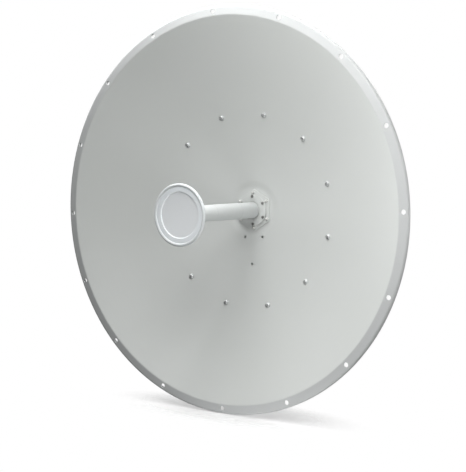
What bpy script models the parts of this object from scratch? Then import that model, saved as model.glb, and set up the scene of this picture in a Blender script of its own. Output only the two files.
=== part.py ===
"""A parabolic dish antenna with its rear frame and mast bracket, in metres with +Z up.

The dish looks along -Y. The origin lies on the flat rear face of the mast plate, which a
clamp holds to a pole. Angles round the dish's axis run from +X towards +Z.
"""

import math

import bmesh
import bpy
from mathutils import Matrix

# Reflector
OVERALL_DEPTH = 0.421
BOWL_DEPTH = 0.175
FEED_REACH = 0.164
APERTURE_RADIUS = 0.500
FLANGE_RADIUS = 0.518
RIM_RADIUS = 0.525
LIP_DEPTH = 0.010
SKIN = 0.0025
SEAT_RADIUS = 0.058
SEAT_BLEND_RADIUS = 0.084
HUB_BORE_RADIUS = 0.030
REFLECTOR_SEGMENTS = 96
INNER_SPANS = 3
OUTER_SPANS = 4
LIP_STEPS = 3

# Holes and bolts in the reflector
RIM_HOLES = 16
RIM_HOLE_CIRCLE = 0.511
RIM_HOLE_RADIUS = 0.006
FRAME_BOLTS = 12
FRAME_BOLT_CIRCLE = 0.261
FRAME_BOLT_FIRST = math.radians(15)
FRAME_BOLT_SHANK = 0.003
FRAME_BOLT_HEAD = 0.0066
FRAME_BOLT_HEAD_HEIGHT = 0.0048
FRAME_BOLT_HEAD_WALL = 0.001
FRAME_NUT_HEIGHT = 0.005
SERVICE_HOLES = ((0.028, -0.073), (-0.028, -0.073), (0.0, -0.147))
SERVICE_HOLE_RADIUS = 0.0032

# Feed
BASE_PLATE_RADIUS = 0.057
BASE_PLATE_THICKNESS = 0.0025
BASE_PLATE_CORNER = 0.010
BASE_PLATE_CORNERS = 6
COLLAR_RADIUS = 0.043
COLLAR_THICKNESS = 0.004
COLLAR_EDGE = 0.001
TUBE_RADIUS = 0.0221
TUBE_TAPER_START = 0.0211
TUBE_TAPER_RUN = 0.032
NECK_RADIUS = 0.0207
NECK_END = 0.139
NECK_START = 0.070
FLARE_MOUTH_RADIUS = 0.060
FLARE_STEPS = 5
DISC_RADIUS = 0.0773
DISC_THICKNESS = 0.008
BEAD_RADIUS = 0.004
LEDGE_DEPTH = 0.0035
CENTRE_RADIUS = 0.0566
CENTRE_DEPTH = 0.006
STEP_SLOPE = 0.0008
BEAD_STEPS = 3
FEED_SEGMENTS = 40

# Rear frame
ARMS = 6
ARM_FIRST = math.radians(30)
ARM_INNER = 0.086
ARM_OUTER = 0.284
ARM_SHEET = 0.0025
ARM_SHOULDER = 0.112
ARM_SPANS = 5
ARM_INNER_WIDTH = 0.036
ARM_OUTER_WIDTH = 0.100
BRIM_INNER_WIDTH = 0.010
BRIM_OUTER_WIDTH = 0.034
ARM_OUTER_HEIGHT = 0.020
ARM_CLEARANCE = 0.0008
HUB_PLATE_RADIUS = 0.105
HUB_PLATE_THICKNESS = 0.005
HUB_PLATE_REAR = -0.047
DRUM_RADIUS = 0.052
DRUM_FLANGE_RADIUS = 0.058
DRUM_WALL = 0.004
DRUM_FLANGE_THICKNESS = 0.003

# Tilt bracket and mast bracket
PLATE_THICKNESS = 0.005
TILT_HALF_HEIGHT = 0.062
TILT_FOOT_WIDTH = 0.040
TILT_REACH = 0.0365
TILT_CORNER = 0.014
CHEEK_HALF_SPREAD = 0.0394
CHEEK_HALF_HEIGHT = 0.058
CHEEK_REACH = 0.0355
CHEEK_CORNER = 0.012
MAST_PLATE_WIDTH = 0.120
MAST_PLATE_HEIGHT = 0.190
MAST_PLATE_THICKNESS = 0.006
MAST_PLATE_CORNER = 0.012
MAST_HOLE_SPREAD = 0.042
MAST_HOLE_RISE = 0.072
MAST_HOLE_RADIUS = 0.0055
PIVOT_Y = -0.0285
PIVOT_Z = -0.040
SLOT_RADIUS = 0.080
SLOT_HALF_ANGLE = math.radians(5)
CHEEK_BOLT_SHANK = 0.005
CHEEK_BOLT_HEAD = 0.0098
CHEEK_BOLT_HEAD_HEIGHT = 0.0064
CHEEK_NUT_HEIGHT = 0.008

# Touching pieces keep this much air between them, and a hole this much round its shank. A
# bolt's flat head keeps more over the bowl's curve.
GAP = 0.0003
FRAME_BOLT_SEAT_GAP = 0.0005

# A cutter's rod has this length, half of it on each side of the face that it starts from.
SHEET_CUTTER_LENGTH = 0.020
BOLT_CUTTER_LENGTH = 0.030

BOLT_SIDES = 12
FRAME_BOLT_SIDES = 10
ARC_STEPS = 4
TINY = 1e-6

VERTEX_Y = FEED_REACH + BOWL_DEPTH - OVERALL_DEPTH
RIM_Y = VERTEX_Y - BOWL_DEPTH
FOUR_F = APERTURE_RADIUS**2 / BOWL_DEPTH
SEAT_BACK_Y = VERTEX_Y + SKIN
DISC_FACE_Y = RIM_Y - FEED_REACH
HUB_PLATE_FRONT = HUB_PLATE_REAR - HUB_PLATE_THICKNESS
LOCK_Z = PIVOT_Z + SLOT_RADIUS

# Local +Z becomes -Y, and local +Y becomes +Z: an outline drawn in XY faces along the dish's axis.
FACING_ALONG_AXIS = Matrix.Rotation(math.radians(90), 4, "X")
# Local X, Y, Z become world Y, Z, X: an outline drawn in XY is seen from the dish's side.
SEEN_FROM_SIDE = Matrix(((0, 0, 1, 0), (1, 0, 0, 0), (0, 1, 0, 0), (0, 0, 0, 1)))


def clear_scene():
    for obj in list(bpy.data.objects):
        bpy.data.objects.remove(obj, do_unlink=True)


def finish_material(name, colour, roughness, metallic):
    material = bpy.data.materials.new(name)
    material.use_nodes = True
    shader = material.node_tree.nodes["Principled BSDF"]
    shader.inputs["Base Color"].default_value = (*colour, 1.0)
    shader.inputs["Roughness"].default_value = roughness
    shader.inputs["Metallic"].default_value = metallic
    return material


def painted_grey():
    """Pale grey powder coat on aluminium sheet."""
    return finish_material("reflector_paint", (0.62, 0.64, 0.62), 0.5, 0.0)


def feed_plastic():
    """White moulded plastic that stands up to weather."""
    return finish_material("feed_plastic", (0.80, 0.81, 0.82), 0.4, 0.0)


def feed_metal():
    """Pale paint on the cast metal at the foot of the feed."""
    return finish_material("feed_base_paint", (0.65, 0.67, 0.66), 0.45, 0.0)


def frame_paint():
    """Pale powder coat on pressed steel."""
    return finish_material("frame_paint", (0.58, 0.60, 0.60), 0.5, 0.0)


def zinc():
    """Zinc-plated steel fasteners."""
    return finish_material("zinc_fastener", (0.60, 0.60, 0.58), 0.35, 1.0)


def object_of(name, bm, material):
    """The named object that holds this mesh, with its faces out and its round sides smooth."""
    bmesh.ops.recalc_face_normals(bm, faces=bm.faces)
    mesh = bpy.data.meshes.new(name)
    bm.to_mesh(mesh)
    bm.free()
    mesh.shade_smooth()
    mesh.set_sharp_from_angle(angle=math.radians(32))
    obj = bpy.data.objects.new(name, mesh)
    if material:
        mesh.materials.append(material)
    bpy.context.collection.objects.link(obj)
    return obj


def copy_of(original, name, matrix):
    """Another object on the same mesh, at its own place."""
    obj = bpy.data.objects.new(name, original.data)
    bpy.context.collection.objects.link(obj)
    obj.matrix_world = matrix
    return obj


def turned(name, outline, material, segments):
    """A solid turned about the Y axis. The outline's points are (radius, y). It starts and
    ends on the axis, or else it closes on itself."""
    bm = bmesh.new()
    verts = [bm.verts.new((radius, y, 0.0)) for radius, y in outline]
    edges = [bm.edges.new(pair) for pair in zip(verts, verts[1:])]
    if outline[0][0] > TINY:
        edges.append(bm.edges.new((verts[-1], verts[0])))
    bmesh.ops.spin(
        bm,
        geom=verts + edges,
        cent=(0, 0, 0),
        axis=(0, 1, 0),
        angle=math.tau,
        steps=segments,
        use_merge=True,
    )
    bmesh.ops.remove_doubles(bm, verts=bm.verts, dist=TINY)
    # Half a step round, so that holes on the main lines fall inside faces and not on edges.
    half_step = Matrix.Rotation(math.pi / segments, 3, "Y")
    bmesh.ops.rotate(bm, verts=bm.verts, cent=(0, 0, 0), matrix=half_step)
    return object_of(name, bm, material)


def skinned(name, rings, material):
    """A solid whose skin joins each ring of points to the next, with a face at each end."""
    bm = bmesh.new()
    loops = [[bm.verts.new(point) for point in ring] for ring in rings]
    for near, far in zip(loops, loops[1:]):
        for i in range(len(near)):
            bm.faces.new((near[i - 1], near[i], far[i], far[i - 1]))
    bm.faces.new(loops[0])
    bm.faces.new(loops[-1])
    return object_of(name, bm, material)


def extruded(name, outline, thickness, material):
    """The outline in the XY plane, carried along +Z by the thickness."""
    rings = [[(x, y, z) for x, y in outline] for z in (0.0, thickness)]
    return skinned(name, rings, material)


def spread(start, end, steps):
    """Even values from start to end, both included."""
    return [start + (end - start) * i / steps for i in range(steps + 1)]


def arc(centre, radius, start, end, steps):
    """Points on an arc, both ends included."""
    angles = spread(start, end, steps)
    return [(centre[0] + radius * math.cos(a), centre[1] + radius * math.sin(a)) for a in angles]


def rounded_rectangle(low, high, low_side_radius, high_side_radius):
    """A rectangle from its low and high corner. The corners at low X share one radius and
    those at high X the other, and a radius of zero leaves them square."""
    quarter = math.pi / 2
    corners = (
        (high[0], high[1], -1, -1, high_side_radius),
        (low[0], high[1], 1, -1, low_side_radius),
        (low[0], low[1], 1, 1, low_side_radius),
        (high[0], low[1], -1, 1, high_side_radius),
    )
    points = []
    for turn, (x, y, inward_x, inward_y, radius) in enumerate(corners):
        centre = (x + inward_x * radius, y + inward_y * radius)
        start = turn * quarter
        points += arc(centre, radius, start, start + quarter, ARC_STEPS) if radius else [(x, y)]
    return points


def around(angle):
    """The turn about the dish's axis that takes +X to this angle."""
    return Matrix.Rotation(-angle, 4, "Y")


def drill(target, cutter):
    """Cuts the helper's shape out of the target."""
    cut = target.modifiers.new(cutter.name, "BOOLEAN")
    cut.operation = "DIFFERENCE"
    cut.solver = "EXACT"
    cut.object = cutter


def fuse(target, helper):
    """Joins the helper's shape to the target, which it overlaps."""
    union = target.modifiers.new(helper.name, "BOOLEAN")
    union.operation = "UNION"
    union.solver = "EXACT"
    union.object = helper


def as_helper(obj):
    obj.hide_render = True
    obj.display_type = "WIRE"
    return obj


def rods(name, places, radius, length):
    """A helper that holds one rod along the Z axis of each place."""
    bm = bmesh.new()
    for place in places:
        bmesh.ops.create_cone(
            bm,
            cap_ends=True,
            segments=BOLT_SIDES,
            radius1=radius,
            radius2=radius,
            depth=length,
            matrix=place,
        )
    return as_helper(object_of(name, bm, None))


def bowl_front(radius):
    """The y of the paraboloid that the bowl's front face follows."""
    return VERTEX_Y - radius**2 / FOUR_F


def bowl_back(radius):
    """The y of the bowl's rear face: the skin's thickness is measured square to the sheet."""
    return bowl_front(radius) + SKIN * math.hypot(1.0, 2 * radius / FOUR_F)


def bowl_slope(radius):
    """How far the bowl's sheet leans forward at this radius, as an angle."""
    return math.atan(2 * radius / FOUR_F)


def reflector_outline():
    """Half the section of the spun sheet: flat seat, paraboloid, flat rim flange, rolled lip."""
    # One ring of points runs through the frame bolts, where the sheet has to lie true.
    spans = spread(SEAT_BLEND_RADIUS, FRAME_BOLT_CIRCLE, INNER_SPANS)
    spans += spread(FRAME_BOLT_CIRCLE, APERTURE_RADIUS, OUTER_SPANS)[1:]
    roll = RIM_RADIUS - FLANGE_RADIUS
    inner_roll = roll - SKIN
    centre = (FLANGE_RADIUS, RIM_Y + roll)
    front = [(HUB_BORE_RADIUS, VERTEX_Y), (SEAT_RADIUS, VERTEX_Y)]
    front += [(radius, bowl_front(radius)) for radius in spans]
    front += arc(centre, roll, -math.pi / 2, 0.0, LIP_STEPS)
    front.append((RIM_RADIUS, RIM_Y + LIP_DEPTH))
    back = [(RIM_RADIUS - SKIN, RIM_Y + LIP_DEPTH)]
    back += arc(centre, inner_roll, 0.0, -math.pi / 2, LIP_STEPS)
    back.append((APERTURE_RADIUS + SKIN / 3, RIM_Y + SKIN))
    back += [(radius, bowl_back(radius)) for radius in reversed(spans[:-1])]
    back += [(SEAT_RADIUS, SEAT_BACK_Y), (HUB_BORE_RADIUS, SEAT_BACK_Y)]
    return front + back


def frame_bolt_place(angle):
    """On the bowl's front face at this angle, with local -Y square to the sheet and forward."""
    seat = Matrix.Translation((FRAME_BOLT_CIRCLE, bowl_front(FRAME_BOLT_CIRCLE), 0.0))
    return around(angle) @ seat @ Matrix.Rotation(-bowl_slope(FRAME_BOLT_CIRCLE), 4, "Z")


def frame_bolt_angles():
    return [FRAME_BOLT_FIRST + math.tau * i / FRAME_BOLTS for i in range(FRAME_BOLTS)]


def make_reflector(frame_bolt_holes):
    reflector = turned("reflector", reflector_outline(), painted_grey(), REFLECTOR_SEGMENTS)
    rim_places = [
        around(math.tau * i / RIM_HOLES)
        @ Matrix.Translation((RIM_HOLE_CIRCLE, RIM_Y, 0.0))
        @ FACING_ALONG_AXIS
        for i in range(RIM_HOLES)
    ]
    service_places = [
        Matrix.Translation((x, bowl_front(math.hypot(x, z)), z)) @ FACING_ALONG_AXIS
        for x, z in SERVICE_HOLES
    ]
    drill(reflector, rods("rim_hole_cutter", rim_places, RIM_HOLE_RADIUS, SHEET_CUTTER_LENGTH))
    drill(
        reflector,
        rods("service_hole_cutter", service_places, SERVICE_HOLE_RADIUS, SHEET_CUTTER_LENGTH),
    )
    drill(reflector, frame_bolt_holes)


def make_frame_bolts():
    """Twelve domed screws hold the reflector to the frame arms, each with its nut behind."""
    lean = math.cos(bowl_slope(FRAME_BOLT_CIRCLE))
    nut_front = SKIN + (ARM_CLEARANCE + ARM_SHEET) * lean + GAP
    nut_back = nut_front + FRAME_NUT_HEIGHT
    seat = -FRAME_BOLT_SEAT_GAP
    rise = FRAME_BOLT_HEAD_HEIGHT - FRAME_BOLT_HEAD_WALL
    dome = arc((0.0, 0.0), 1.0, math.pi / 2, 0.0, ARC_STEPS - 1)
    outline = [
        (x * FRAME_BOLT_HEAD, seat - FRAME_BOLT_HEAD_WALL - y * rise) for x, y in dome
    ]
    outline += [
        (FRAME_BOLT_HEAD, seat),
        (FRAME_BOLT_SHANK, seat),
        (FRAME_BOLT_SHANK, nut_front),
        (FRAME_BOLT_HEAD, nut_front),
        (FRAME_BOLT_HEAD, nut_back),
        (0.0, nut_back),
    ]
    places = [frame_bolt_place(angle) for angle in frame_bolt_angles()]
    first = turned("frame_bolt_01", outline, zinc(), FRAME_BOLT_SIDES)
    first.matrix_world = places[0]
    for number, place in enumerate(places[1:], start=2):
        copy_of(first, f"frame_bolt_{number:02d}", place)


def arm_section(along):
    """The closed outline of an arm's pressed hat section at this distance from the axis."""
    share = (along - ARM_INNER) / (ARM_OUTER - ARM_INNER)
    half = (ARM_INNER_WIDTH + (ARM_OUTER_WIDTH - ARM_INNER_WIDTH) * share) / 2
    edge = half + BRIM_INNER_WIDTH + (BRIM_OUTER_WIDTH - BRIM_INNER_WIDTH) * share
    inner_web = HUB_PLATE_FRONT - GAP
    outer_web = bowl_back(ARM_OUTER) + ARM_OUTER_HEIGHT
    fall = max(0.0, (along - ARM_SHOULDER) / (ARM_OUTER - ARM_SHOULDER))
    web = inner_web + (outer_web - inner_web) * fall
    inside = half - ARM_SHEET

    def seat(across):
        return bowl_back(math.hypot(along, across)) + ARM_CLEARANCE

    right = [
        (inside, web - ARM_SHEET),
        (inside, seat(inside)),
        (edge, seat(edge)),
        (edge, seat(edge) + ARM_SHEET),
        (half, seat(half) + ARM_SHEET),
        (half, web),
    ]
    left = [(-across, y) for across, y in reversed(right)]
    return [(along, y, across) for across, y in right + left]


def make_arms(frame_bolt_holes):
    """Six pressed arms carry the bowl. Each foot spreads to two of the frame bolts."""
    stations = [ARM_INNER] + spread(ARM_SHOULDER, ARM_OUTER, ARM_SPANS)
    first = skinned("frame_arm_1", [arm_section(along) for along in stations], frame_paint())
    first.matrix_world = around(ARM_FIRST)
    drill(first, frame_bolt_holes)
    for number in range(1, ARMS):
        turn = around(ARM_FIRST + math.tau * number / ARMS)
        drill(copy_of(first, f"frame_arm_{number + 1}", turn), frame_bolt_holes)


def make_hub():
    """A flanged drum behind the bowl, and the round plate that ties it to the arms."""
    near = SEAT_BACK_Y + GAP
    far = HUB_PLATE_FRONT - GAP
    bore = DRUM_RADIUS - DRUM_WALL
    drum = [
        (bore, near),
        (DRUM_FLANGE_RADIUS, near),
        (DRUM_FLANGE_RADIUS, near + DRUM_FLANGE_THICKNESS),
        (DRUM_RADIUS, near + DRUM_FLANGE_THICKNESS),
        (DRUM_RADIUS, far - DRUM_FLANGE_THICKNESS),
        (DRUM_FLANGE_RADIUS, far - DRUM_FLANGE_THICKNESS),
        (DRUM_FLANGE_RADIUS, far),
        (bore, far),
    ]
    turned("hub_drum", drum, frame_paint(), FEED_SEGMENTS)
    plate = [
        (HUB_BORE_RADIUS, HUB_PLATE_FRONT),
        (HUB_PLATE_RADIUS, HUB_PLATE_FRONT),
        (HUB_PLATE_RADIUS, HUB_PLATE_REAR),
        (HUB_BORE_RADIUS, HUB_PLATE_REAR),
    ]
    turned("hub_plate", plate, frame_paint(), FEED_SEGMENTS)


def make_base_plate():
    """A six-cornered plate lies on the bowl's seat, with rounded corners."""
    corner_reach = BASE_PLATE_RADIUS - BASE_PLATE_CORNER
    half_turn = math.pi / BASE_PLATE_CORNERS
    outline = []
    for corner in range(BASE_PLATE_CORNERS):
        middle = math.pi / 2 + math.tau * corner / BASE_PLATE_CORNERS
        centre = (corner_reach * math.cos(middle), corner_reach * math.sin(middle))
        outline += arc(
            centre, BASE_PLATE_CORNER, middle - half_turn, middle + half_turn, ARC_STEPS
        )
    plate = extruded("feed_base_plate", outline, BASE_PLATE_THICKNESS, feed_metal())
    plate.matrix_world = Matrix.Translation((0, VERTEX_Y - GAP, 0)) @ FACING_ALONG_AXIS


def make_feed():
    """The collar, the tube, the flared horn at its end, and the stepped disc that closes it."""
    collar_rear = VERTEX_Y - BASE_PLATE_THICKNESS - 2 * GAP
    collar_front = collar_rear - COLLAR_THICKNESS
    collar = [
        (0.0, collar_front),
        (COLLAR_RADIUS - COLLAR_EDGE, collar_front),
        (COLLAR_RADIUS, collar_front + COLLAR_EDGE),
        (COLLAR_RADIUS, collar_rear),
        (0.0, collar_rear),
    ]
    turned("feed_collar", collar, feed_metal(), FEED_SEGMENTS)

    neck_end = DISC_FACE_Y + NECK_END
    tube = [
        (0.0, neck_end + GAP),
        (TUBE_TAPER_START, neck_end + GAP),
        (TUBE_RADIUS, neck_end + TUBE_TAPER_RUN),
        (TUBE_RADIUS, collar_front - GAP),
        (0.0, collar_front - GAP),
    ]
    turned("feed_tube", tube, feed_plastic(), FEED_SEGMENTS)

    disc_back = DISC_FACE_Y + DISC_THICKNESS
    flare_front = disc_back + GAP
    sweep_length = DISC_FACE_Y + NECK_START - flare_front
    widening = FLARE_MOUTH_RADIUS - NECK_RADIUS
    flare = [(0.0, flare_front)]
    flare += [
        (
            NECK_RADIUS + widening * (1 - math.sin(turn)),
            flare_front + sweep_length * (1 - math.cos(turn)),
        )
        for turn in spread(0.0, math.pi / 2, FLARE_STEPS)
    ]
    flare += [(NECK_RADIUS, neck_end), (0.0, neck_end)]
    turned("feed_flare", flare, feed_plastic(), FEED_SEGMENTS)

    # The disc's edge is a round bead, which rises from the ledge and runs round to the back.
    bead = (DISC_RADIUS - BEAD_RADIUS, DISC_FACE_Y + BEAD_RADIUS)
    crest = 1.5 * math.pi
    ledge = math.pi + math.asin((BEAD_RADIUS - LEDGE_DEPTH) / BEAD_RADIUS)
    disc = [
        (0.0, DISC_FACE_Y + CENTRE_DEPTH),
        (CENTRE_RADIUS - STEP_SLOPE, DISC_FACE_Y + CENTRE_DEPTH),
        (CENTRE_RADIUS, DISC_FACE_Y + LEDGE_DEPTH),
    ]
    disc += arc(bead, BEAD_RADIUS, ledge, crest, BEAD_STEPS)
    disc += arc(bead, BEAD_RADIUS, crest, crest + math.pi, 2 * BEAD_STEPS)[1:]
    disc.append((0.0, disc_back))
    turned("sub_reflector_disc", disc, feed_plastic(), FEED_SEGMENTS)


def make_cheek_bolt(name):
    """A hexagon bolt along X, with its head outside and its nut inside the two plates that it
    clamps. Its middle lies in the joint between them."""
    outer = PLATE_THICKNESS + GAP / 2 + GAP
    inner = -outer

    def ring(along, radius, hexagonal):
        points = []
        for i in range(BOLT_SIDES):
            angle = math.tau * i / BOLT_SIDES
            flat = math.cos(math.pi / 6) if hexagonal and i % 2 else 1.0
            reach = radius * flat
            points.append((along, reach * math.cos(angle), reach * math.sin(angle)))
        return points

    rings = [
        ring(inner - CHEEK_NUT_HEIGHT, CHEEK_BOLT_HEAD, True),
        ring(inner, CHEEK_BOLT_HEAD, True),
        ring(inner, CHEEK_BOLT_SHANK, False),
        ring(outer, CHEEK_BOLT_SHANK, False),
        ring(outer, CHEEK_BOLT_HEAD, True),
        ring(outer + CHEEK_BOLT_HEAD_HEIGHT, CHEEK_BOLT_HEAD, True),
    ]
    return skinned(name, rings, zinc())


def slot_outline():
    """The curved slot round the tilt pivot, as (y, z) points with round ends."""
    width = CHEEK_BOLT_SHANK + GAP
    low = math.pi / 2 - SLOT_HALF_ANGLE
    high = math.pi / 2 + SLOT_HALF_ANGLE
    pivot = (PIVOT_Y, PIVOT_Z)
    ends = arc(pivot, SLOT_RADIUS, low, high, 1)
    outline = arc(pivot, SLOT_RADIUS + width, low, high, ARC_STEPS)
    outline += arc(ends[1], width, high, high + math.pi, ARC_STEPS)[1:-1]
    outline += arc(pivot, SLOT_RADIUS - width, high, low, ARC_STEPS)
    outline += arc(ends[0], width, low + math.pi, low + math.tau, ARC_STEPS)[1:-1]
    return outline


def bracket_cutters():
    """The helpers for the pivot's holes, the lock bolts' holes and the curved slots."""
    across = 2 * (CHEEK_HALF_SPREAD + TILT_FOOT_WIDTH)
    radius = CHEEK_BOLT_SHANK + GAP
    along_x = Matrix.Rotation(math.pi / 2, 4, "Y")
    pivot_place = Matrix.Translation((0.0, PIVOT_Y, PIVOT_Z)) @ along_x
    lock_place = Matrix.Translation((0.0, PIVOT_Y, LOCK_Z)) @ along_x
    pivot = rods("pivot_hole_cutter", [pivot_place], radius, across)
    lock = rods("lock_hole_cutter", [lock_place], radius, across)
    slot = as_helper(extruded("tilt_slot_cutter", slot_outline(), across, None))
    slot.matrix_world = Matrix.Translation((-across / 2, 0, 0)) @ SEEN_FROM_SIDE
    return pivot, lock, slot


def make_tilt_bracket(side, word, pivot_cutter, slot_cutter):
    """An angle bracket: its foot lies on the hub plate, and its web stands beside a cheek."""
    foot = HUB_PLATE_REAR + GAP
    inner = CHEEK_HALF_SPREAD + GAP
    low = (foot, -TILT_HALF_HEIGHT)
    high = (foot + TILT_REACH, TILT_HALF_HEIGHT)
    profile = rounded_rectangle(low, high, 0.0, TILT_CORNER)
    bracket = extruded(f"tilt_bracket_{word}", profile, PLATE_THICKNESS, frame_paint())
    start = inner if side > 0 else -inner - PLATE_THICKNESS
    bracket.matrix_world = Matrix.Translation((start, 0, 0)) @ SEEN_FROM_SIDE
    edges = sorted((side * inner, side * (inner + TILT_FOOT_WIDTH)))
    foot_outline = rounded_rectangle(
        (edges[0], -TILT_HALF_HEIGHT),
        (edges[1], TILT_HALF_HEIGHT),
        0.0 if side > 0 else TILT_CORNER,
        TILT_CORNER if side > 0 else 0.0,
    )
    foot_plate = extruded(f"tilt_foot_{word}", foot_outline, PLATE_THICKNESS, None)
    foot_back = Matrix.Translation((0, foot + PLATE_THICKNESS, 0))
    foot_plate.matrix_world = foot_back @ FACING_ALONG_AXIS
    fuse(bracket, as_helper(foot_plate))
    drill(bracket, pivot_cutter)
    drill(bracket, slot_cutter)


def make_mast_cheek(side, word, pivot_cutter, lock_cutter):
    """A plate that stands on the mast plate, inside its tilt bracket."""
    rear = -MAST_PLATE_THICKNESS - GAP
    low = (rear - CHEEK_REACH, -CHEEK_HALF_HEIGHT)
    high = (rear, CHEEK_HALF_HEIGHT)
    profile = rounded_rectangle(low, high, CHEEK_CORNER, 0.0)
    cheek = extruded(f"mast_cheek_{word}", profile, PLATE_THICKNESS, frame_paint())
    start = CHEEK_HALF_SPREAD - PLATE_THICKNESS if side > 0 else -CHEEK_HALF_SPREAD
    cheek.matrix_world = Matrix.Translation((start, 0, 0)) @ SEEN_FROM_SIDE
    drill(cheek, pivot_cutter)
    drill(cheek, lock_cutter)


def make_tilt_joint():
    """On each side a bracket and a cheek, a pivot bolt below and a lock bolt in the slot."""
    pivot_cutter, lock_cutter, slot_cutter = bracket_cutters()
    for side, word in ((-1, "left"), (1, "right")):
        make_tilt_bracket(side, word, pivot_cutter, slot_cutter)
        make_mast_cheek(side, word, pivot_cutter, lock_cutter)
        middle = side * (CHEEK_HALF_SPREAD + GAP / 2)
        turn = Matrix.Rotation(0.0 if side > 0 else math.pi, 4, "Z")
        pivot = make_cheek_bolt(f"pivot_bolt_{word}")
        pivot.matrix_world = Matrix.Translation((middle, PIVOT_Y, PIVOT_Z)) @ turn
        lock_place = Matrix.Translation((middle, PIVOT_Y, LOCK_Z)) @ turn
        copy_of(pivot, f"lock_bolt_{word}", lock_place)


def make_mast_plate():
    """A flat plate with four holes for the clamp's bolts."""
    half = (MAST_PLATE_WIDTH / 2, MAST_PLATE_HEIGHT / 2)
    low = (-half[0], -half[1])
    outline = rounded_rectangle(low, half, MAST_PLATE_CORNER, MAST_PLATE_CORNER)
    plate = extruded("mast_plate", outline, MAST_PLATE_THICKNESS, frame_paint())
    plate.matrix_world = FACING_ALONG_AXIS
    hole_places = [
        Matrix.Translation((x * MAST_HOLE_SPREAD, 0.0, z * MAST_HOLE_RISE)) @ FACING_ALONG_AXIS
        for x in (-1, 1)
        for z in (-1, 1)
    ]
    drill(plate, rods("mast_hole_cutter", hole_places, MAST_HOLE_RADIUS, BOLT_CUTTER_LENGTH))


def make_antenna():
    clear_scene()
    shank_along_z = Matrix.Rotation(math.pi / 2, 4, "X")
    bolt_places = [frame_bolt_place(angle) @ shank_along_z for angle in frame_bolt_angles()]
    frame_bolt_holes = rods(
        "frame_bolt_hole_cutter", bolt_places, FRAME_BOLT_SHANK + 2 * GAP, BOLT_CUTTER_LENGTH
    )
    make_reflector(frame_bolt_holes)
    make_frame_bolts()
    make_arms(frame_bolt_holes)
    make_hub()
    make_base_plate()
    make_feed()
    make_tilt_joint()
    make_mast_plate()


make_antenna()
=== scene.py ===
import math

import bmesh
import bpy
import numpy as np
from mathutils import Matrix, Vector


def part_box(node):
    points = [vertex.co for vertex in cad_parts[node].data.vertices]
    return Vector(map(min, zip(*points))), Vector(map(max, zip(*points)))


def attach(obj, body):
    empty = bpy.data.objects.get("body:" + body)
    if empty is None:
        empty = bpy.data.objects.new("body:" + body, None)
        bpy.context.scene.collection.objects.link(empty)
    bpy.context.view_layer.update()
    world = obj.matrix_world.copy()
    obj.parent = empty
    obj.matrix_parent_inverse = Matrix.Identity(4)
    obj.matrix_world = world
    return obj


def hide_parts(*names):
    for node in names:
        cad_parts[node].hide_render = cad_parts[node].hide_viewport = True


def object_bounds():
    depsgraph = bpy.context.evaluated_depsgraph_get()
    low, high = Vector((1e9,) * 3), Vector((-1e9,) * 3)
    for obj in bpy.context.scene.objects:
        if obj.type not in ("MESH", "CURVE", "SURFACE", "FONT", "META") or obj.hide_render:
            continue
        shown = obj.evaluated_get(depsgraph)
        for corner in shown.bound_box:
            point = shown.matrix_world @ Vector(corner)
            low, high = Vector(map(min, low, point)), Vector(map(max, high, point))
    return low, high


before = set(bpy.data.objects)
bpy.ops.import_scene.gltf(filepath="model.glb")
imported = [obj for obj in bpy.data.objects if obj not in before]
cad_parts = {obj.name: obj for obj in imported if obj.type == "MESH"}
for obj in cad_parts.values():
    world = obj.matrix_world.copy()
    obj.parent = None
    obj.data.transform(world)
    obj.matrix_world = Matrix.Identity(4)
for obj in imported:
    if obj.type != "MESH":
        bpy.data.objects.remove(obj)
cad_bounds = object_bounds()

# Camera
# It stands where the photograph was taken from: in front of the dish, to its right and a little
# above its axis. Its place comes from a fit to the rim's sixteen holes and the frame bolts.
PHOTO_SIZE = (466, 472)
FOCAL_LENGTH_PX = 872.2
CAMERA_AZIMUTH = math.radians(35.14)
CAMERA_ELEVATION = math.radians(1.75)
CAMERA_ROLL = math.radians(-1.38)
CAMERA_DISTANCE = 2.247
RIM_CENTRE_PX = (217.26, 212.59)

reflector_low, reflector_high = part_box("reflector")
rim_y = reflector_low.y
rim_radius = (reflector_high.x - reflector_low.x) / 2

level = math.cos(CAMERA_ELEVATION)
look = Vector(
    (
        -math.sin(CAMERA_AZIMUTH) * level,
        math.cos(CAMERA_AZIMUTH) * level,
        -math.sin(CAMERA_ELEVATION),
    )
)
right = Vector((math.cos(CAMERA_AZIMUTH), math.sin(CAMERA_AZIMUTH), 0.0))
up = right.cross(look)
camera_place = Vector((0.0, rim_y, 0.0)) - look * CAMERA_DISTANCE
cos_roll, sin_roll = math.cos(CAMERA_ROLL), math.sin(CAMERA_ROLL)
right, up = right * cos_roll + up * sin_roll, up * cos_roll - right * sin_roll
# The camera is then panned so that the rim's centre falls where the photograph has it.
pan = math.atan2(RIM_CENTRE_PX[0] - PHOTO_SIZE[0] / 2, FOCAL_LENGTH_PX)
tip = math.atan2(PHOTO_SIZE[1] / 2 - RIM_CENTRE_PX[1], FOCAL_LENGTH_PX)
right, look = (
    right * math.cos(pan) + look * math.sin(pan),
    look * math.cos(pan) - right * math.sin(pan),
)
up, look = up * math.cos(tip) + look * math.sin(tip), look * math.cos(tip) - up * math.sin(tip)
camera_data = bpy.data.cameras.new("camera")
camera_data.lens = FOCAL_LENGTH_PX * camera_data.sensor_width / max(PHOTO_SIZE)
camera = bpy.data.objects.new("camera", camera_data)
camera.matrix_world = Matrix.Translation(camera_place) @ Matrix((right, up, -look)).transposed().to_4x4()
bpy.context.scene.collection.objects.link(camera)
bpy.context.scene.camera = camera

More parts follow.
